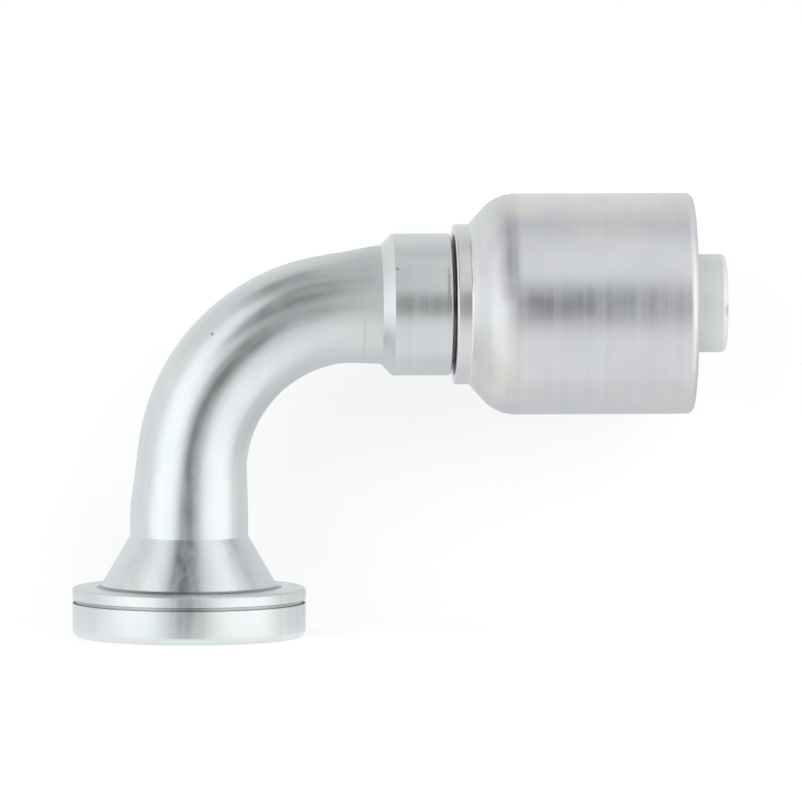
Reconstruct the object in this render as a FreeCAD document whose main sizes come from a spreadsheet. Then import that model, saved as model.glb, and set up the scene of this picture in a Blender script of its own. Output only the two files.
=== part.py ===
import FreeCAD, Part
import os
import Sketcher

# Ninety degree flange hose fitting, in millimetres and degrees.
# The origin is the centre of the flange's sealing face. +Z runs up the flange axis, away from
# the port. +X runs along the hose axis, towards the hose. The bend lies in the XZ plane.

# Driving sizes
SIZES = {
    # Flange head
    "flange_diameter": 41.28,
    "flange_thickness": 8.76,
    "face_edge_radius": 1.3,
    "back_edge_radius": 0.5,
    "mark_groove_setback": 2.36,
    "mark_groove_width": 0.7,
    "mark_groove_depth": 0.5,
    "seal_groove_diameter": 31.85,
    "seal_groove_width": 4.3,
    "seal_groove_depth": 2.75,
    "bore_mouth_chamfer": 0.5,
    # Cone between the flange head and the tube
    "neck_height": 17.9,
    "neck_angle": 30.3,
    "neck_root_radius": 0.8,
    # Bent tube, squeezed in the plane of its bend and pulled towards the bend's centre.
    # The change from round to squeezed takes this share of the straight leg above the neck.
    "tube_diameter": 20.9,
    "tube_bore": 14.3,
    "bend_radius": 29.5,
    "bend_squeeze": 1.45,
    "bend_pull": 0.45,
    "leg_transition_share": 0.71,
    "bend_transition": 3.5,
    "hose_axis_height": 58.7,
    # Collar of the stem, and the socket that the tube is brazed into
    "collar_standoff": 4.9,
    "collar_wall": 2.05,
    "collar_length": 11.8,
    "collar_chamfer": 1.55,
    "collar_edge_radius": 0.3,
    "socket_depth": 6.0,
    "braze_gap": 0.05,
    "braze_fillet": 0.5,
    "braze_land": 0.1,
    # Bore of the stem, with the groove and shoulder that hold the shell
    "stem_bore": 14.3,
    "lock_groove_wall": 2.85,
    "lock_groove_length": 4.6,
    "lock_shoulder_rise": 1.3,
    "lock_shoulder_length": 1.6,
    # Barbed tail of the stem, and its plain tip
    "barb_wall": 2.5,
    "barb_depth": 0.7,
    "barb_land": 0.6,
    "barb_pitch": 5.0,
    "barb_count": 7,
    "tip_wall": 1.525,
    "tip_length": 7.7,
    "tip_edge_radius": 1.0,
    "tip_bore_chamfer": 0.4,
    # Shell, outside
    "shell_gap": 0.6,
    "shell_length": 42.5,
    "shell_diameter": 39.1,
    "shell_neck_wall": 2.15,
    "shell_neck_length": 2.7,
    "shell_neck_edge_radius": 0.4,
    "shoulder_angle": 48.0,
    "shoulder_radius": 7.7,
    "crease_radius": 0.4,
    "mouth_edge_radius": 1.4,
    # Shell, inside
    "stake_clearance": 0.15,
    "relief_gap": 0.7,
    "relief_clearance": 1.2,
    "hose_stop_length": 2.2,
    "skirt_wall": 3.35,
    "tooth_depth": 1.0,
    "tooth_land": 1.0,
    "tooth_pitch": 4.2,
    "first_tooth": 1.4,
    "mouth_land": 2.0,
    "mouth_chamfer": 0.9,
}
# Sections of the bend: steps in each change from round to oval, and steps between them
TRANSITION_STEPS = 5
BEND_STEPS = 6
# An edge this near to a corner of its profile is the edge that the corner left
TOUCHING = 1e-5
# Most of the shell's cone that the round of its shoulder may take
SHOULDER_SHARE = 0.9

doc = FreeCAD.newDocument("flange_hose_fitting")
sheet = doc.addObject("Spreadsheet::Sheet", "Sizes")
for row, (alias, number) in enumerate(SIZES.items(), start=1):
    sheet.set(f"A{row}", alias)
    sheet.set(f"B{row}", str(number))
    sheet.setAlias(f"B{row}", alias)
doc.recompute()


def bind(target, bindings):
    """Tie each property of an object to an expression on the sheet."""
    for name, expression in bindings.items():
        target.setExpression(name, expression)


def new_body(label, bindings):
    """An empty body, whose placement is bound to the sheet."""
    body = doc.addObject("PartDesign::Body", label)
    body.Label = label
    bind(body, bindings)
    return body


def origin_plane(body, role):
    return next(item for item in body.Origin.OriginFeatures if item.Role == role)


def profile(body, name, corners):
    """A closed outline in the body's XZ plane. Each corner is a pair of expressions."""
    sketch = body.newObject("Sketcher::SketchObject", name)
    sketch.AttachmentSupport = (origin_plane(body, "XZ_Plane"), [""])
    sketch.MapMode = "FlatFace"
    count = len(corners)
    starts = [FreeCAD.Vector(index, index * index, 0) for index in range(count)]
    for index in range(count):
        line = Part.LineSegment(starts[index], starts[(index + 1) % count])
        sketch.addGeometry(line, False)
    for index in range(count):
        following = (index + 1) % count
        sketch.addConstraint(Sketcher.Constraint("Coincident", index, 2, following, 1))
    for index, (across, along) in enumerate(corners):
        for kind, expression in (("DistanceX", across), ("DistanceY", along)):
            place = sketch.addConstraint(Sketcher.Constraint(kind, -1, 1, index, 1, 1.0))
            sketch.setExpression(f"Constraints[{place}]", expression)
    return sketch


def turn(body, name, sketch, axis, cut=False):
    """Turn a profile about an axis of its sketch, as material or as a cut."""
    kind = "PartDesign::Groove" if cut else "PartDesign::Revolution"
    feature = body.newObject(kind, name)
    feature.Profile = sketch
    feature.ReferenceAxis = (sketch, [axis])
    feature.Angle = 360
    doc.recompute()
    return feature


def repeat(body, name, feature, sketch, bindings):
    """Copies of a feature along the sketch's horizontal axis."""
    pattern = body.newObject("PartDesign::LinearPattern", name)
    pattern.Originals = [feature]
    pattern.Direction = (sketch, ["H_Axis"])
    bind(pattern, bindings)
    body.Tip = pattern
    doc.recompute()
    return pattern


def ring_edges(base, sketch, corners):
    """Names of the round edges that the given corners of a turned profile leave."""
    names = []
    for corner in corners:
        point = sketch.Placement.multVec(sketch.Geometry[corner].StartPoint)
        vertex = Part.Vertex(point)
        for number, edge in enumerate(base.Shape.Edges, start=1):
            if edge.Closed and edge.distToShape(vertex)[0] < TOUCHING:
                names.append(f"Edge{number}")
    return names


def soften(body, name, base, sketch, corners, size, kind="Fillet"):
    """Round or chamfer the edges left by some corners of a turned profile."""
    feature = body.newObject(f"PartDesign::{kind}", name)
    feature.Base = (base, ring_edges(base, sketch, corners))
    feature.setExpression("Radius" if kind == "Fillet" else "Size", size)
    doc.recompute()
    return feature


# Flange head with its neck cone and the straight leg of the tube, turned about Z
TUBE_RADIUS = "Sizes.tube_diameter / 2"
BORE_RADIUS = "Sizes.tube_bore / 2"
RIM_RADIUS = "Sizes.flange_diameter / 2"
BEND_LEVEL = "(Sizes.hose_axis_height - Sizes.bend_radius)"
LEG_LEAD = f"(({BEND_LEVEL} - Sizes.neck_height) * Sizes.leg_transition_share)"
LEG_TOP = f"({BEND_LEVEL} - {LEG_LEAD})"
NECK_BASE = (
    f"{TUBE_RADIUS}"
    " + (Sizes.neck_height - Sizes.flange_thickness) * tan(Sizes.neck_angle * 1 deg)"
)
head = new_body("flange_head", {})
head_sketch = profile(head, "head_outline", [
    ("0", "0"),
    (RIM_RADIUS, "0"),
    (RIM_RADIUS, "Sizes.flange_thickness"),
    (NECK_BASE, "Sizes.flange_thickness"),
    (TUBE_RADIUS, "Sizes.neck_height"),
    (TUBE_RADIUS, LEG_TOP),
    ("0", LEG_TOP),
])
head_solid = turn(head, "head_solid", head_sketch, "V_Axis")
face_edge = soften(head, "face_edge", head_solid, head_sketch, [1], "Sizes.face_edge_radius")
back_edge = soften(head, "back_edge", face_edge, head_sketch, [2], "Sizes.back_edge_radius")
soften(head, "neck_root", back_edge, head_sketch, [3], "Sizes.neck_root_radius")

# Groove round the rim that marks the heavy series of flange
MARK_LEVEL = "Sizes.flange_thickness - Sizes.mark_groove_setback"
MARK_LOW = f"{MARK_LEVEL} - Sizes.mark_groove_width / 2"
MARK_HIGH = f"{MARK_LEVEL} + Sizes.mark_groove_width / 2"
MARK_FLOOR = f"{RIM_RADIUS} - Sizes.mark_groove_depth"
MARK_OUTSIDE = f"{RIM_RADIUS} + Sizes.mark_groove_depth"
mark_sketch = profile(head, "mark_outline", [
    (MARK_FLOOR, MARK_LOW),
    (MARK_OUTSIDE, MARK_LOW),
    (MARK_OUTSIDE, MARK_HIGH),
    (MARK_FLOOR, MARK_HIGH),
])
turn(head, "mark_groove", mark_sketch, "V_Axis", cut=True)

# Groove in the sealing face for the ring seal
SEAL_INNER = "Sizes.seal_groove_diameter / 2 - Sizes.seal_groove_width"
SEAL_OUTER = "Sizes.seal_groove_diameter / 2"
seal_sketch = profile(head, "seal_outline", [
    (SEAL_INNER, "-Sizes.seal_groove_depth"),
    (SEAL_OUTER, "-Sizes.seal_groove_depth"),
    (SEAL_OUTER, "Sizes.seal_groove_depth"),
    (SEAL_INNER, "Sizes.seal_groove_depth"),
])
turn(head, "seal_groove", seal_sketch, "V_Axis", cut=True)

# Place of the collar on the hose axis, and the straight run where the squeezed tube turns round
COLLAR_PLACE = "(Sizes.bend_radius + Sizes.collar_standoff)"
COLLAR_LEAD = "(Sizes.collar_standoff - Sizes.braze_fillet - Sizes.braze_land)"


def bend_stations():
    """Angle, lead and share of squeeze of each section, from the flange leg to the collar."""
    steps = [step / TRANSITION_STEPS for step in range(TRANSITION_STEPS + 1)]
    stations = []
    for outside, end, sign in (
        (LEG_LEAD, "0", 1),
        (COLLAR_LEAD, "90", -1),
    ):
        half = []
        for step in steps:
            past = f"({step} * ({outside} + Sizes.bend_transition) - {outside})"
            angle = f"({end} + {sign} * max({past}; 0) / Sizes.bend_radius * 180 / pi)"
            lead = f"({sign} * min({past}; 0))"
            half.append((angle, lead, step * step * (3 - 2 * step)))
        stations.append(half)
    inside = "Sizes.bend_transition / Sizes.bend_radius * 180 / pi"
    middle = []
    for part in range(1, BEND_STEPS):
        turned = f"({inside} + (90 - 2 * {inside}) * {part / BEND_STEPS})"
        middle.append((turned, "0", 1.0))
    return stations[0] + middle + stations[1][::-1]


def bent_rod(name, diameter):
    """The bend as a solid, round at its ends and squeezed in its own plane between them."""
    sections = []
    for index, (angle, lead, share) in enumerate(bend_stations()):
        turned = f"({angle} * 1 deg)"
        radius = f"(Sizes.bend_radius - Sizes.bend_pull * {share})"
        across = f"Sizes.bend_radius - {radius} * cos({turned}) + {lead} * sin({turned})"
        up = f"{BEND_LEVEL} + {radius} * sin({turned}) + {lead} * cos({turned})"
        facing = f"rotation(vector(0; 1; 0); {angle}) * rotation(vector(0; 0; 1); 90)"
        squeeze = f"Sizes.bend_squeeze * {share}"
        oval = doc.addObject("Part::Ellipse", f"{name}_section_{index}")
        bind(oval, {
            "MajorRadius": f"{diameter} / 2",
            "MinorRadius": f"({diameter} - {squeeze}) / 2",
            "Placement": f"placement(vector({across}; 0; {up}); {facing})",
        })
        sections.append(oval)
    rod = doc.addObject("Part::Loft", name)
    rod.Sections = sections
    rod.Solid = True
    return rod


def cylinder(name, radius, height, placement):
    item = doc.addObject("Part::Cylinder", name)
    bind(item, {"Radius": radius, "Height": height, "Placement": placement})
    return item


# Bent tube, with its straight end that goes into the stem, and the passage through it all
UPRIGHT = "placement(vector(0; 0; 0); rotation(vector(0; 0; 1); 0))"
BEND_END = f"(Sizes.bend_radius + {COLLAR_LEAD})"
ALONG_HOSE = (
    f"placement(vector({BEND_END}; 0; Sizes.hose_axis_height); rotation(vector(0; 1; 0); 90))"
)
SPIGOT_LENGTH = f"{COLLAR_PLACE} + Sizes.socket_depth - {BEND_END}"
tube_outside = bent_rod("tube_outside", "Sizes.tube_diameter")
tube_inside = bent_rod("tube_inside", "Sizes.tube_bore")
spigot = cylinder("spigot", TUBE_RADIUS, SPIGOT_LENGTH, ALONG_HOSE)
leg_bore = cylinder("leg_bore", BORE_RADIUS, LEG_TOP, UPRIGHT)
spigot_bore = cylinder("spigot_bore", BORE_RADIUS, SPIGOT_LENGTH, ALONG_HOSE)
bore_mouth = doc.addObject("Part::Cone", "bore_mouth")
bind(bore_mouth, {
    "Radius1": f"{BORE_RADIUS} + Sizes.bore_mouth_chamfer",
    "Radius2": BORE_RADIUS,
    "Height": "Sizes.bore_mouth_chamfer",
})
elbow_metal = doc.addObject("Part::MultiFuse", "elbow_metal")
elbow_metal.Shapes = [head, tube_outside, spigot]
passage = doc.addObject("Part::MultiFuse", "passage")
passage.Shapes = [leg_bore, tube_inside, spigot_bore, bore_mouth]
flange_elbow = doc.addObject("Part::Cut", "flange_elbow")
flange_elbow.Base = elbow_metal
flange_elbow.Tool = passage
flange_elbow.Label = "flange_elbow"
doc.recompute()

# Stem: collar with its brazing socket, lock groove and shoulder, barbs and tip
STEM_PLACE = {
    "Placement.Base.x": COLLAR_PLACE,
    "Placement.Base.z": "Sizes.hose_axis_height",
}
SOCKET_RADIUS = f"{TUBE_RADIUS} + Sizes.braze_gap"
COLLAR_RADIUS = f"{SOCKET_RADIUS} + Sizes.collar_wall"
STEM_BORE = "Sizes.stem_bore / 2"
LOCK_RADIUS = f"{STEM_BORE} + Sizes.lock_groove_wall"
SHOULDER_RADIUS = f"{LOCK_RADIUS} + Sizes.lock_shoulder_rise"
LOCK_END = "Sizes.collar_length + Sizes.lock_groove_length"
BARB_START = f"{LOCK_END} + Sizes.lock_shoulder_length"
BARB_END = f"{BARB_START} + Sizes.barb_count * Sizes.barb_pitch"
BARB_RADIUS = f"{STEM_BORE} + Sizes.barb_wall"
TIP_RADIUS = f"{STEM_BORE} + Sizes.tip_wall"
TIP_END = f"{BARB_END} + Sizes.tip_length"
hose_stem = new_body("hose_stem", STEM_PLACE)
stem_sketch = profile(hose_stem, "stem_outline", [
    ("0", SOCKET_RADIUS),
    ("0", COLLAR_RADIUS),
    ("Sizes.collar_length", COLLAR_RADIUS),
    ("Sizes.collar_length", LOCK_RADIUS),
    (LOCK_END, LOCK_RADIUS),
    (LOCK_END, SHOULDER_RADIUS),
    (BARB_START, SHOULDER_RADIUS),
    (BARB_START, BARB_RADIUS),
    (BARB_END, BARB_RADIUS),
    (BARB_END, TIP_RADIUS),
    (TIP_END, TIP_RADIUS),
    (TIP_END, STEM_BORE),
    ("Sizes.socket_depth", STEM_BORE),
    ("Sizes.socket_depth", SOCKET_RADIUS),
])
stem_solid = turn(hose_stem, "stem_solid", stem_sketch, "H_Axis")
collar_chamfer = soften(
    hose_stem, "collar_chamfer", stem_solid, stem_sketch, [1], "Sizes.collar_chamfer", "Chamfer")
collar_edge = soften(
    hose_stem, "collar_edge", collar_chamfer, stem_sketch, [2], "Sizes.collar_edge_radius")
tip_edge = soften(hose_stem, "tip_edge", collar_edge, stem_sketch, [10], "Sizes.tip_edge_radius")
soften(hose_stem, "tip_mouth", tip_edge, stem_sketch, [11], "Sizes.tip_bore_chamfer", "Chamfer")

# Barbs: the hose slides on over the ramps, and the steep backs hold it
BARB_NEXT = f"{BARB_START} + Sizes.barb_pitch"
BARB_TOP = f"{BARB_RADIUS} + Sizes.barb_depth"
barb_sketch = profile(hose_stem, "barb_outline", [
    (f"{BARB_START} + Sizes.barb_land", BARB_RADIUS),
    (BARB_NEXT, f"{BARB_RADIUS} - Sizes.barb_depth"),
    (BARB_NEXT, BARB_TOP),
    (f"{BARB_START} + Sizes.barb_land", BARB_TOP),
])
barb_ramp = turn(hose_stem, "barb_ramp", barb_sketch, "H_Axis", cut=True)
repeat(hose_stem, "barbs", barb_ramp, barb_sketch, {
    "Length": "(Sizes.barb_count - 1) * Sizes.barb_pitch",
    "Occurrences": "Sizes.barb_count",
})

# Fillet of braze round the tube, against the end of the collar
braze_ring = new_body("braze_ring", STEM_PLACE)
braze_sketch = profile(braze_ring, "braze_outline", [
    ("-Sizes.braze_fillet", TUBE_RADIUS),
    ("0", TUBE_RADIUS),
    ("0", f"{TUBE_RADIUS} + Sizes.braze_fillet"),
])
turn(braze_ring, "braze_solid", braze_sketch, "H_Axis")

# Shell: staked neck, domed shoulder and toothed skirt, open towards the hose
SHELL_RADIUS = "Sizes.shell_diameter / 2"
STAKE_RADIUS = f"{LOCK_RADIUS} + Sizes.stake_clearance"
STAKE_END = "Sizes.lock_groove_length - Sizes.shell_gap"
RELIEF_RADIUS = f"{SHOULDER_RADIUS} + Sizes.relief_gap"
NECK_RADIUS = f"{RELIEF_RADIUS} + Sizes.shell_neck_wall"
RELIEF_END = f"{STAKE_END} + Sizes.lock_shoulder_length + Sizes.relief_clearance"
HOSE_STOP = f"{RELIEF_END} + Sizes.hose_stop_length"
TOOTH_RADIUS = f"{SHELL_RADIUS} - Sizes.skirt_wall"
SHOULDER_RISE = f"({SHELL_RADIUS} - ({NECK_RADIUS}))"
SHOULDER_END = (
    f"Sizes.shell_neck_length + {SHOULDER_RISE} / tan(Sizes.shoulder_angle * 1 deg)"
)
CONE_LENGTH = f"{SHOULDER_RISE} / sin(Sizes.shoulder_angle * 1 deg)"
SHOULDER_ROUND = (
    "min(Sizes.shoulder_radius;"
    f" {SHOULDER_SHARE} * {CONE_LENGTH} / tan(Sizes.shoulder_angle / 2 * 1 deg))"
)
crimp_shell = new_body("crimp_shell", {
    "Placement.Base.x": f"{COLLAR_PLACE} + Sizes.collar_length + Sizes.shell_gap",
    "Placement.Base.z": "Sizes.hose_axis_height",
})
shell_sketch = profile(crimp_shell, "shell_outline", [
    ("0", STAKE_RADIUS),
    ("0", NECK_RADIUS),
    ("Sizes.shell_neck_length", NECK_RADIUS),
    (SHOULDER_END, SHELL_RADIUS),
    ("Sizes.shell_length", SHELL_RADIUS),
    ("Sizes.shell_length", TOOTH_RADIUS),
    (HOSE_STOP, TOOTH_RADIUS),
    (RELIEF_END, RELIEF_RADIUS),
    (STAKE_END, RELIEF_RADIUS),
    (STAKE_END, STAKE_RADIUS),
])
shell_solid = turn(crimp_shell, "shell_solid", shell_sketch, "H_Axis")
neck_edge = soften(
    crimp_shell, "neck_edge", shell_solid, shell_sketch, [1], "Sizes.shell_neck_edge_radius")
shoulder = soften(crimp_shell, "shoulder", neck_edge, shell_sketch, [3], SHOULDER_ROUND)
crease = soften(crimp_shell, "crease", shoulder, shell_sketch, [2], "Sizes.crease_radius")
mouth_edge = soften(crimp_shell, "mouth_edge", crease, shell_sketch, [4], "Sizes.mouth_edge_radius")
soften(crimp_shell, "mouth_lead", mouth_edge, shell_sketch, [5], "Sizes.mouth_chamfer", "Chamfer")

# Teeth inside the skirt, which bite through the hose's cover
TOOTH_START = f"{HOSE_STOP} + Sizes.first_tooth"
TOOTH_NEXT = f"{TOOTH_START} + Sizes.tooth_pitch"
TOOTH_INSIDE = f"{TOOTH_RADIUS} - Sizes.tooth_depth"
TOOTH_RUN = f"(Sizes.shell_length - Sizes.mouth_land - ({TOOTH_START}))"
TOOTH_COUNT = f"floor({TOOTH_RUN} / Sizes.tooth_pitch)"
tooth_sketch = profile(crimp_shell, "tooth_outline", [
    (f"{TOOTH_START} + Sizes.tooth_land", TOOTH_RADIUS),
    (TOOTH_NEXT, f"{TOOTH_RADIUS} + Sizes.tooth_depth"),
    (TOOTH_NEXT, TOOTH_INSIDE),
    (f"{TOOTH_START} + Sizes.tooth_land", TOOTH_INSIDE),
])
tooth_gap = turn(crimp_shell, "tooth_gap", tooth_sketch, "H_Axis", cut=True)
repeat(crimp_shell, "teeth", tooth_gap, tooth_sketch, {
    "Length": f"({TOOTH_COUNT} - 1) * Sizes.tooth_pitch",
    "Occurrences": TOOTH_COUNT,
})

# Each sub-part is a sound solid before anything is written
NODES = [flange_elbow, braze_ring, hose_stem, crimp_shell]
doc.recompute()
for item in doc.Objects:
    if "Invalid" in item.State or "Error" in item.State:
        raise RuntimeError(f"{item.Label} did not build: {item.State}")
for node in NODES:
    if node.Shape.isNull() or not node.Shape.isValid():
        raise RuntimeError(f"{node.Label} has no sound shape")
os.makedirs("parts", exist_ok=True)
for node in NODES:
    node.Shape.exportStep(f"parts/{node.Label}.step")
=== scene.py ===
import math

import bpy
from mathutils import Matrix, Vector


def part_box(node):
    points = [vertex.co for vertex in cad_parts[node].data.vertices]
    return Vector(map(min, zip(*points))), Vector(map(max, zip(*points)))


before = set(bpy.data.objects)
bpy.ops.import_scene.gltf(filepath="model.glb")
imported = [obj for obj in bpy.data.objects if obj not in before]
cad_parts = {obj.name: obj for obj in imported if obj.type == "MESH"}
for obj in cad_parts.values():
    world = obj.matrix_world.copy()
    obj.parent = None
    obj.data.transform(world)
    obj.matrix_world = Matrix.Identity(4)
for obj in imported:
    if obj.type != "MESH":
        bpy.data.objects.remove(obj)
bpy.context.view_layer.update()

# Size of the photograph, where the flange centre is in it, and its scale
PICTURE_WIDTH, PICTURE_HEIGHT = 802, 800
ORIGIN_PIXEL = (189.1, 636.3)
METRES_PER_PIXEL = 0.17694e-3

# Camera, seen from the flange centre: turned towards -X and raised
CAMERA_AZIMUTH = math.radians(3.4)
CAMERA_ELEVATION = math.radians(4.5)
CAMERA_DISTANCE = 6.0
CAMERA_REACH = 20.0
SENSOR_WIDTH = 36.0

# Floor: half its side, its depth below the face, and what lifts it to white
FLOOR_HALF = 1.6
FLOOR_DROP = 0.00003
FLOOR_LIFT = 0.42
FLOOR_COLOUR = (0.80, 0.80, 0.795, 1.0)
# Backdrop: its place behind the flange centre, its own lift, and the oval about the part round
# which it fades out, as centre and half sides in X and Z and a run of shares of those
BACKDROP_PLACE = 0.024
BACKDROP_LIFT = 0.455
BACKDROP_CENTRE = (0.037, 0.035)
BACKDROP_HALF = (0.115, 0.085)
BACKDROP_FADE = (0.75, 1.0)
WHITE = (1.0, 1.0, 1.0, 1.0)

# Radius of the tube's bend, whose centre lies inside the corner
BEND_RADIUS = 0.0295


def mean(a, b):
    return (a + b) / 2


HOSE_AXIS = mean(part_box("crimp_shell")[0][2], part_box("crimp_shell")[1][2])


# Node helpers

class Nodes:
    """Short calls for the nodes of one material or world."""

    def __init__(self, tree):
        self.tree = tree
        tree.nodes.clear()

    def add(self, kind, inputs=None, **settings):
        node = self.tree.nodes.new(kind)
        for name, value in settings.items():
            setattr(node, name, value)
        for name, value in (inputs or {}).items():
            self.feed(node.inputs[name], value)
        return node

    def feed(self, socket, value):
        if isinstance(value, bpy.types.NodeSocket):
            self.tree.links.new(value, socket)
        else:
            socket.default_value = value

    def math(self, operation, a, b=0.0, c=0.0):
        return self.add("ShaderNodeMath", {0: a, 1: b, 2: c}, operation=operation).outputs[0]

    def product(self, factors):
        result = factors[0]
        for factor in factors[1:]:
            result = self.math("MULTIPLY", result, factor)
        return result

    def distance(self, value, middle):
        return self.math("ABSOLUTE", self.math("SUBTRACT", value, middle))

    def hypotenuse(self, a, b):
        squares = self.math("ADD", self.math("MULTIPLY", a, a), self.math("MULTIPLY", b, b))
        return self.math("SQRT", squares)

    def oval(self, pair, centre, half):
        """Distance from an oval's centre in two coordinates, 1 at its edge."""
        offsets = [
            self.math("DIVIDE", self.math("SUBTRACT", value, middle), size)
            for value, middle, size in zip(pair, centre, half)
        ]
        return self.hypotenuse(*offsets)

    def smooth(self, value, low, high, start=0.0, end=1.0):
        """Goes smoothly from start, at low, to end, at high."""
        node = self.add("ShaderNodeMapRange", interpolation_type="SMOOTHSTEP")
        for name, number in (("Value", value), ("From Min", low), ("From Max", high),
                             ("To Min", start), ("To Max", end)):
            self.feed(node.inputs[name], number)
        return node.outputs["Result"]

    def noise(self, vector, scale, detail, roughness=0.5, distortion=0.0):
        node = self.add("ShaderNodeTexNoise", {
            "Vector": vector, "Scale": scale, "Detail": detail,
            "Roughness": roughness, "Distortion": distortion,
        })
        return node.outputs[0]

    def blend(self, share, a, b, blend_type="MIX"):
        node = self.add("ShaderNodeMix", data_type="RGBA", blend_type=blend_type)
        for name, value in ((0, share), (6, a), (7, b)):
            self.feed(node.inputs[name], value)
        return node.outputs[2]

    def ramp(self, value, stops):
        """Colour ramp. Each stop is a position and a colour."""
        node = self.add("ShaderNodeValToRGB", {0: value})
        elements = node.color_ramp.elements
        while len(elements) < len(stops):
            elements.new(0.5)
        for element, (position, colour) in zip(elements, stops):
            element.position = position
            element.color = (*colour, 1.0)
        return node.outputs[0]

    def dim(self, colour, share):
        """The colour times one share in all its channels."""
        shares = self.add("ShaderNodeCombineXYZ", {0: share, 1: share, 2: share}).outputs[0]
        node = self.add("ShaderNodeVectorMath", {0: colour, 1: shares}, operation="MULTIPLY")
        return node.outputs[0]

    def place(self):
        """The place on the object, and its three coordinates."""
        place = self.add("ShaderNodeTexCoord").outputs["Object"]
        return place, self.add("ShaderNodeSeparateXYZ", {0: place}).outputs

    def mix(self, share, first, second):
        """Mix of two shader nodes."""
        return self.add(
            "ShaderNodeMixShader", {0: share, 1: first.outputs[0], 2: second.outputs[0]})

    def finish(self, kind, surface):
        self.feed(self.add(kind).inputs["Surface"], surface.outputs[0])


def new_material(name):
    material = bpy.data.materials.new(name)
    material.use_nodes = True
    return material, Nodes(material.node_tree)


# Zinc plate

TUBE_COLOURS = ((0.765, 0.825, 0.845, 1.0), (0.815, 0.845, 0.850, 1.0))
SHELL_COLOURS = ((0.810, 0.830, 0.850, 1.0), (0.860, 0.860, 0.860, 1.0))
TIP_COLOUR = (0.955, 0.975, 0.985, 1.0)
# Painted shade in grooves and corners, in a dark colour that the marks also take: its colour,
# how far it reaches from them, and the run of openness over which it ends
SHADE_AND_MARK_COLOUR = (0.16, 0.165, 0.17, 1.0)
PAINTED_SHADE_REACH = 0.0011
PAINTED_SHADE_RUN = (0.30, 0.80)
# Thin film colours of the passivated plate, which come and go over some centimetres
FILM_STOPS = (
    (0.30, (0.93, 0.96, 1.00)),
    (0.42, (0.96, 0.95, 1.00)),
    (0.52, (1.00, 1.00, 1.00)),
    (0.60, (1.00, 0.99, 0.94)),
    (0.68, (0.95, 1.00, 0.97)),
    (0.78, (1.00, 0.96, 0.96)),
)
# Scales of the noise of the plate's two colours, of its film, of smudges and of marks' edges
MOTTLE_SCALE = 75.0
FILM_SCALE = 38.0
SMUDGE_SCALE = 220.0
EDGE_SCALE = 1800.0
# Streaks: how much they darken the plate, how much they dull it, and their bump
STREAK_SHADE = 0.05
STREAK_MATT = 0.06
BUMP_STRENGTH = 0.04
BUMP_DEPTH = 2e-5
# Smudges: how far roughness goes below and above its value. It stays above 0.28 everywhere,
# because the denoiser draws specks where it crosses about 0.27.
SMUDGE_BELOW = 0.02
SMUDGE_ABOVE = 0.03
# Run of an oval's shares over which a mark ends, and of Y over which the front ends
MARK_EDGE = (0.55, 1.15)
FRONT_EDGE = (-0.002, 0.0)
# How strongly streaks change with distance from the hose axis, and along the drawn tube
TURNED_SHARE = 0.3
DRAWN_SHARE = 0.06


def turned_place(nodes, x, y, z):
    """Place on a piece turned about the hose axis, as its length and its distance from it."""
    from_axis = nodes.hypotenuse(y, nodes.math("SUBTRACT", z, HOSE_AXIS))
    outwards = nodes.math("MULTIPLY", from_axis, TURNED_SHARE)
    return nodes.add("ShaderNodeCombineXYZ", {0: x, 1: outwards}).outputs[0]


def drawn_place(nodes, x, y, z):
    """Place across the tube, nearly the same all along the leg, the bend and the hose end."""
    inside_x = nodes.math("MAXIMUM", nodes.math("SUBTRACT", BEND_RADIUS, x), 0.0)
    inside_z = nodes.math("MAXIMUM", nodes.math("SUBTRACT", z, HOSE_AXIS - BEND_RADIUS), 0.0)
    from_centre = nodes.hypotenuse(inside_x, inside_z)
    along = nodes.math("MULTIPLY", nodes.math("ADD", x, z), DRAWN_SHARE)
    return nodes.add("ShaderNodeCombineXYZ", {0: from_centre, 1: y, 2: along}).outputs[0]


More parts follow.
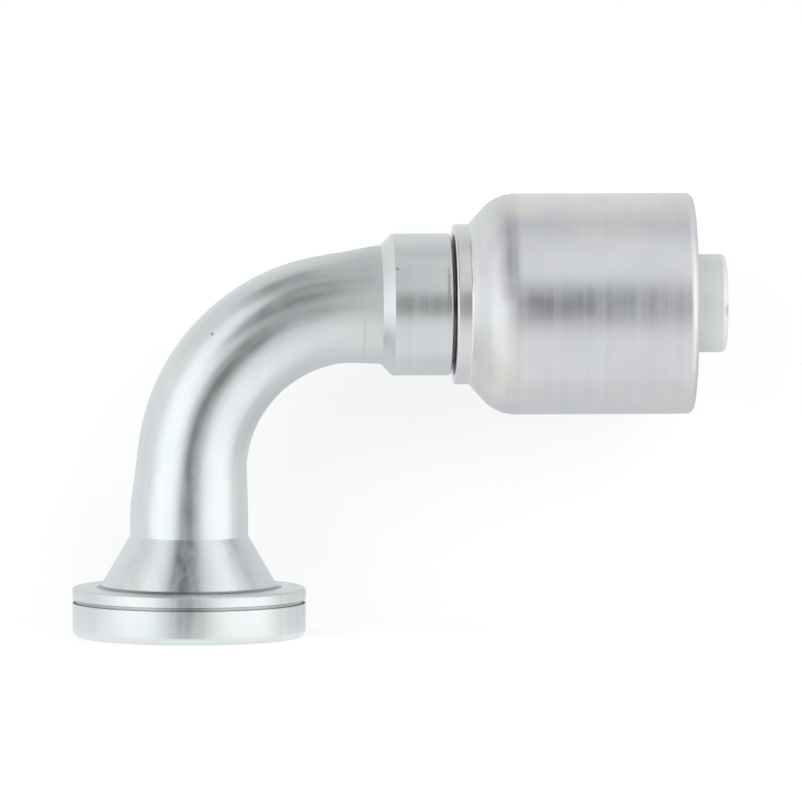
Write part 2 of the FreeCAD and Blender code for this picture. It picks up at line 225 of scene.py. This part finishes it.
def zinc(name, colours, *, roughness, film, streak_place, streak_scale, streaks,
         duller=(), marks_and_shade=(), paler=None, alone=False):
    """Plated steel with streaks along the given place, and painted shade in its grooves and
    corners.
    Film and streaks are strengths. Each duller entry is a coordinate, X, Z or the distance from
    the flange's axis, the run of it over which polish is lost, and how much. Each mark, or patch
    of painted shade, has two coordinates, its centre and half size in them, how dark it is and
    how ragged, and those in X and Z are on the front alone. Paler is a run of X and the colour
    past it.
    Alone leaves what other pieces and the floor shelter out of the painted shade in the recesses."""
    material, nodes = new_material(name)
    place, (x, y, z) = nodes.place()
    coordinates = {"X": x, "Z": z, "flange": nodes.hypotenuse(x, y)}

    mottle = nodes.noise(place, MOTTLE_SCALE, detail=3.0, roughness=0.55)
    colour = nodes.blend(nodes.smooth(mottle, 0.32, 0.68), *colours)
    drift = nodes.noise(place, FILM_SCALE, detail=2.0, distortion=0.8)
    colour = nodes.blend(film, colour, nodes.ramp(drift, FILM_STOPS), "MULTIPLY")
    if paler:
        start, end, pale = paler
        colour = nodes.blend(nodes.smooth(x, start, end), colour, pale)
    lines = nodes.noise(streak_place(nodes, x, y, z), streak_scale, detail=1.5, roughness=0.6)
    colour = nodes.dim(colour, nodes.smooth(lines, 0.3, 0.7, 1.0 - STREAK_SHADE * streaks, 1.0))
    # Painted shade: the plate goes to a dark colour in grooves, gaps and corners, by how closed
    # in they are
    painted_shade_occlusion = nodes.add("ShaderNodeAmbientOcclusion", {"Distance": PAINTED_SHADE_REACH},
                        samples=8, only_local=alone)
    colour = nodes.blend(nodes.smooth(painted_shade_occlusion.outputs["AO"], *PAINTED_SHADE_RUN), SHADE_AND_MARK_COLOUR, colour)

    on_front = nodes.smooth(y, *FRONT_EDGE, 1.0, 0.0)
    edge = nodes.smooth(nodes.noise(place, EDGE_SCALE, detail=1.0), 0.2, 0.8, -1.0, 1.0)
    # Marks, and the painted shade round the foot of the neck cone, go towards that same dark
    # colour
    for pair, centre, half, depth, raggedness in marks_and_shade:
        reach = nodes.oval([coordinates[axis] for axis in pair], centre, half)
        reach = nodes.math("ADD", reach, nodes.math("MULTIPLY", edge, raggedness))
        share = nodes.smooth(reach, *MARK_EDGE, depth, 0.0)
        if pair == FRONT:
            share = nodes.math("MULTIPLY", share, on_front)
        colour = nodes.blend(share, colour, SHADE_AND_MARK_COLOUR)

    smudge = nodes.noise(place, SMUDGE_SCALE, detail=1.5)
    matt = nodes.smooth(smudge, 0.3, 0.75, roughness - SMUDGE_BELOW, roughness + SMUDGE_ABOVE)
    matt = nodes.math("ADD", matt, nodes.smooth(lines, 0.35, 0.7, 0.0, STREAK_MATT * streaks))
    for axis, start, end, loss in duller:
        lost = nodes.smooth(coordinates[axis], start, end, 0.0, loss)
        matt = nodes.math("ADD", matt, lost)

    height = nodes.math("MULTIPLY", lines, streaks)
    bump = nodes.add("ShaderNodeBump", {
        "Height": height, "Strength": BUMP_STRENGTH, "Distance": BUMP_DEPTH})
    nodes.finish("ShaderNodeOutputMaterial", nodes.add("ShaderNodeBsdfPrincipled", {
        "Base Color": colour, "Metallic": 1.0, "Roughness": matt, "Normal": bump.outputs[0],
    }))
    return material


FRONT = ("X", "Z")
# Painted shade in the corner at the foot of the neck cone, a pit on the bend and a faint line
# near the collar
ELBOW_MARKS_AND_SHADE = [
    # Painted shade: a dark ring round the corner at the foot of the neck cone
    (("flange", "Z"), (0.0160, 0.0090), (0.00060, 0.00045), 0.70, 0.0),
    (FRONT, (0.0037, 0.0542), (0.00030, 0.00030), 0.60, 0.3),
    (FRONT, (0.0306, 0.0540), (0.00020, 0.00420), 0.14, 0.3),
]
# Tool marks beside the gap, a dot near the braze and a mark on the tip
STEM_MARKS = [
    (FRONT, (0.0454, 0.0634), (0.00028, 0.00260), 0.45, 0.3),
    (FRONT, (0.0363, 0.0658), (0.00035, 0.00030), 0.55, 0.3),
    (FRONT, (0.0948, 0.0581), (0.00040, 0.00130), 0.30, 0.3),
]
# Rubbed places near the shoulder
SHELL_MARKS = [
    (FRONT, (0.0556, 0.0622), (0.00160, 0.00200), 0.14, 0.0),
    (FRONT, (0.0595, 0.0606), (0.00320, 0.00110), 0.12, 0.0),
]
# The tube is duller from the bend on and on the rim, the stem at its tip, and the shell on its
# shoulder and towards the hose
FINISHES = {
    "flange_elbow": zinc(
        "zinc_elbow", TUBE_COLOURS, roughness=0.30, film=0.4,
        streak_place=drawn_place, streak_scale=750.0, streaks=1.0,
        duller=[("X", 0.020, 0.033, 0.16), ("flange", 0.0155, 0.0185, 0.06)],
        marks_and_shade=ELBOW_MARKS_AND_SHADE, alone=True),
    "braze_ring": zinc(
        "zinc_braze", TUBE_COLOURS, roughness=0.34, film=0.4,
        streak_place=turned_place, streak_scale=900.0, streaks=0.4),
    "hose_stem": zinc(
        "zinc_stem", TUBE_COLOURS, roughness=0.32, film=0.5,
        streak_place=turned_place, streak_scale=900.0, streaks=0.7,
        duller=[("X", 0.086, 0.090, 0.32)],
        marks_and_shade=STEM_MARKS, paler=(0.086, 0.090, TIP_COLOUR)),
    "crimp_shell": zinc(
        "zinc_shell", SHELL_COLOURS, roughness=0.30, film=0.9,
        streak_place=turned_place, streak_scale=800.0, streaks=0.8,
        duller=[("X", 0.0590, 0.0565, 0.16), ("X", 0.0510, 0.0495, -0.16),
                ("X", 0.065, 0.092, 0.08)],
        marks_and_shade=SHELL_MARKS),
}
for node_name, finish in FINISHES.items():
    for material_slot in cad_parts[node_name].material_slots:
        material_slot.material = finish


# Light tent: the world as the metal sees it, white round a dark opening for the camera. Its
# numbers are parts of the direction that points to a place on it: right, back and up.

# The opening, on a plane one unit in front of the object: its middle and half width, its lowest
# and highest place, how soft its edges are, and its light as a share of the walls'
OPENING_MIDDLE = -0.11
OPENING_HALF = 0.34
OPENING_RISE = (-0.30, 0.46)
OPENING_SOFTNESS = 0.30
OPENING_LEVEL = 0.10
# Run of back over which the front ends
TENT_FRONT = (-0.15, -0.05)
# A gap overhead, to the left, that draws the streak on top of the bend: its middle in right and
# back with the runs of distance over which it ends, the run of up where it starts, and how dark
# it is
GAP_RIGHT, GAP_RIGHT_RUN = -0.28, (0.12, 0.32)
GAP_BACK, GAP_BACK_RUN = 0.08, (0.14, 0.36)
GAP_UP_RUN = (0.74, 0.86)
GAP_DARKNESS = 0.85
# Walls in front: the run of distance to both sides over which they get brighter, and how much
SIDE_RUN = (0.30, 0.60)
SIDE_GAIN = 0.30
# Walls that are weaker, behind, at the back right, overhead and below: the part of the
# direction, a run of it, and the levels at its start and its end
WEAKER_WALLS = [
    ("back", -0.20, 0.10, 1.0, 0.87),
    ("back right", 0.90, 1.30, 1.0, 0.88),
    ("up", 0.25, 0.60, 1.0, 0.89),
    ("up", 0.85, 1.00, 1.0, 0.86),
    ("up", -0.35, -0.12, 0.83, 1.0),
]


def opening(nodes, right, back, up):
    """Share of darkness of the upright opening in front."""
    forward = nodes.math("MAXIMUM", nodes.math("MULTIPLY", back, -1.0), 0.02)
    across = nodes.math("DIVIDE", right, forward)
    rise = nodes.math("DIVIDE", up, forward)
    soft = OPENING_SOFTNESS
    low, high = OPENING_RISE
    past = nodes.math("SUBTRACT", nodes.distance(across, OPENING_MIDDLE), OPENING_HALF)
    return nodes.product([
        nodes.smooth(past, -soft, soft, 1.0, 0.0),
        nodes.smooth(rise, low - soft, low + soft),
        nodes.smooth(rise, high - soft, high + soft, 1.0, 0.0),
    ])


def light_tent():
    world = bpy.data.worlds.new("light_tent")
    world.use_nodes = True
    nodes = Nodes(world.node_tree)
    bpy.context.scene.world = world
    direction = nodes.add("ShaderNodeTexCoord").outputs["Generated"]
    right, back, up = nodes.add("ShaderNodeSeparateXYZ", {0: direction}).outputs
    parts = {"back": back, "up": up, "back right": nodes.math("ADD", right, back)}
    in_front = nodes.smooth(back, *TENT_FRONT, 1.0, 0.0)
    dark = nodes.math("MULTIPLY", opening(nodes, right, back, up), in_front)
    gap = nodes.product([
        nodes.smooth(nodes.distance(right, GAP_RIGHT), *GAP_RIGHT_RUN, GAP_DARKNESS, 0.0),
        nodes.smooth(up, *GAP_UP_RUN),
        nodes.smooth(nodes.distance(back, GAP_BACK), *GAP_BACK_RUN, 1.0, 0.0),
    ])
    sides = nodes.smooth(nodes.math("ABSOLUTE", right), *SIDE_RUN, 0.0, SIDE_GAIN)
    level = nodes.product([
        nodes.math("MULTIPLY_ADD", sides, in_front, 1.0),
        *(nodes.smooth(parts[part], *run) for part, *run in WEAKER_WALLS),
        nodes.math("SUBTRACT", 1.0, gap),
        nodes.smooth(dark, 0.0, 1.0, 1.0, OPENING_LEVEL),
    ])
    tent = nodes.add("ShaderNodeBackground", {"Color": WHITE, "Strength": level})
    white = nodes.add("ShaderNodeBackground", {"Color": WHITE, "Strength": 1.0})
    seen = nodes.add("ShaderNodeLightPath").outputs["Is Camera Ray"]
    nodes.finish("ShaderNodeOutputWorld", nodes.mix(seen, tent, white))


light_tent()


# Cards that only the metal mirrors: a dark flag high in front of the bend, and a white one
# under the flange. Each has its centre, its half sides, the run over which its edge fades, the
# axis it faces along and its level.
CARDS = {
    "dark_flag": ((-0.0300, -0.120, 0.260), 0.080, 0.150, 0.030, "Y", 0.0),
    "white_card": ((-0.0050, 0.000, -0.0004), 0.045, 0.045, 0.020, "Z", 1.0),
}


def four_sided(name, corners, material):
    mesh = bpy.data.meshes.new(name)
    mesh.from_pydata(corners, [], [(0, 1, 2, 3)])
    mesh.materials.append(material)
    sheet = bpy.data.objects.new(name, mesh)
    bpy.context.collection.objects.link(sheet)
    return sheet


def make_card(name, centre, half_width, half_depth, fade, facing, level):
    material, nodes = new_material(name)
    _, (x, y, z) = nodes.place()
    share = nodes.product([
        nodes.smooth(nodes.math("SUBTRACT", half, nodes.math("ABSOLUTE", along)), 0.0, fade)
        for along, half in ((x, half_width), (z if facing == "Y" else y, half_depth))
    ])
    clear = nodes.add("ShaderNodeBsdfTransparent")
    glow = nodes.add("ShaderNodeEmission", {"Color": WHITE, "Strength": level})
    nodes.finish("ShaderNodeOutputMaterial", nodes.mix(share, clear, glow))
    corners = [(-half_width, -half_depth), (half_width, -half_depth),
               (half_width, half_depth), (-half_width, half_depth)]
    card = four_sided(
        name, [(a, 0.0, b) if facing == "Y" else (a, b, 0.0) for a, b in corners], material)
    card.location = centre
    for ray in ("camera", "diffuse", "transmission", "volume_scatter", "shadow"):
        setattr(card, f"visible_{ray}", False)


for card_name, card_facts in CARDS.items():
    make_card(card_name, *card_facts)


# Floor and backdrop, white to the camera apart from the shadows on them. The metal mirrors the
# tent alone, as in the photograph, and from behind the backdrop isn't seen.

def white_sweep(name, lift_level, fading=False):
    material, nodes = new_material(name)
    seen = nodes.add("ShaderNodeLightPath").outputs["Is Camera Ray"]
    plain = nodes.add("ShaderNodeBsdfDiffuse", {"Color": FLOOR_COLOUR})
    glow = nodes.add("ShaderNodeEmission", {
        "Color": WHITE, "Strength": nodes.math("MULTIPLY", seen, lift_level)})
    surface = nodes.add("ShaderNodeAddShader", {0: plain.outputs[0], 1: glow.outputs[0]})
    if fading:
        _, (x, _, z) = nodes.place()
        away = nodes.smooth(nodes.oval((x, z), BACKDROP_CENTRE, BACKDROP_HALF), *BACKDROP_FADE)
        behind = nodes.add("ShaderNodeNewGeometry").outputs["Backfacing"]
        clear = nodes.add("ShaderNodeBsdfTransparent")
        surface = nodes.mix(nodes.math("MAXIMUM", behind, away), surface, clear)
    nodes.finish("ShaderNodeOutputMaterial", surface)
    return material


def make_sheet(name, corners, material):
    sheet = four_sided(name, corners, material)
    sheet.visible_glossy = False
    return sheet


make_sheet("floor", [
    (-FLOOR_HALF, -FLOOR_HALF, -FLOOR_DROP), (FLOOR_HALF, -FLOOR_HALF, -FLOOR_DROP),
    (FLOOR_HALF, FLOOR_HALF, -FLOOR_DROP), (-FLOOR_HALF, FLOOR_HALF, -FLOOR_DROP),
], white_sweep("white_floor", FLOOR_LIFT))
low_x, high_x = (BACKDROP_CENTRE[0] + side * BACKDROP_HALF[0] for side in (-1, 1))
high_z = BACKDROP_CENTRE[1] + BACKDROP_HALF[1]
backdrop = make_sheet("backdrop", [
    (low_x, BACKDROP_PLACE, -FLOOR_DROP), (high_x, BACKDROP_PLACE, -FLOOR_DROP),
    (high_x, BACKDROP_PLACE, high_z), (low_x, BACKDROP_PLACE, high_z),
], white_sweep("white_backdrop", BACKDROP_LIFT, fading=True))
backdrop.visible_diffuse = False
backdrop.visible_shadow = False


# Camera at the photograph's angle, far away with a long lens

def make_camera():
    forward = Vector((
        math.sin(CAMERA_AZIMUTH) * math.cos(CAMERA_ELEVATION),
        math.cos(CAMERA_AZIMUTH) * math.cos(CAMERA_ELEVATION),
        -math.sin(CAMERA_ELEVATION),
    ))
    right = Vector((math.cos(CAMERA_AZIMUTH), -math.sin(CAMERA_AZIMUTH), 0.0))
    up = right.cross(forward)
    beside = (PICTURE_WIDTH / 2 - ORIGIN_PIXEL[0]) * METRES_PER_PIXEL
    above = (ORIGIN_PIXEL[1] - PICTURE_HEIGHT / 2) * METRES_PER_PIXEL
    target = right * beside + up * above
    data = bpy.data.cameras.new("camera")
    data.sensor_width = SENSOR_WIDTH
    data.lens = SENSOR_WIDTH * CAMERA_DISTANCE / (PICTURE_WIDTH * METRES_PER_PIXEL)
    data.clip_end = CAMERA_REACH
    camera = bpy.data.objects.new("camera", data)
    bpy.context.collection.objects.link(camera)
    camera.location = target - forward * CAMERA_DISTANCE
    camera.rotation_mode = "QUATERNION"
    camera.rotation_quaternion = forward.to_track_quat("-Z", "Y")
    bpy.context.scene.camera = camera


make_camera()
bpy.context.scene.view_settings.view_transform = "Standard"
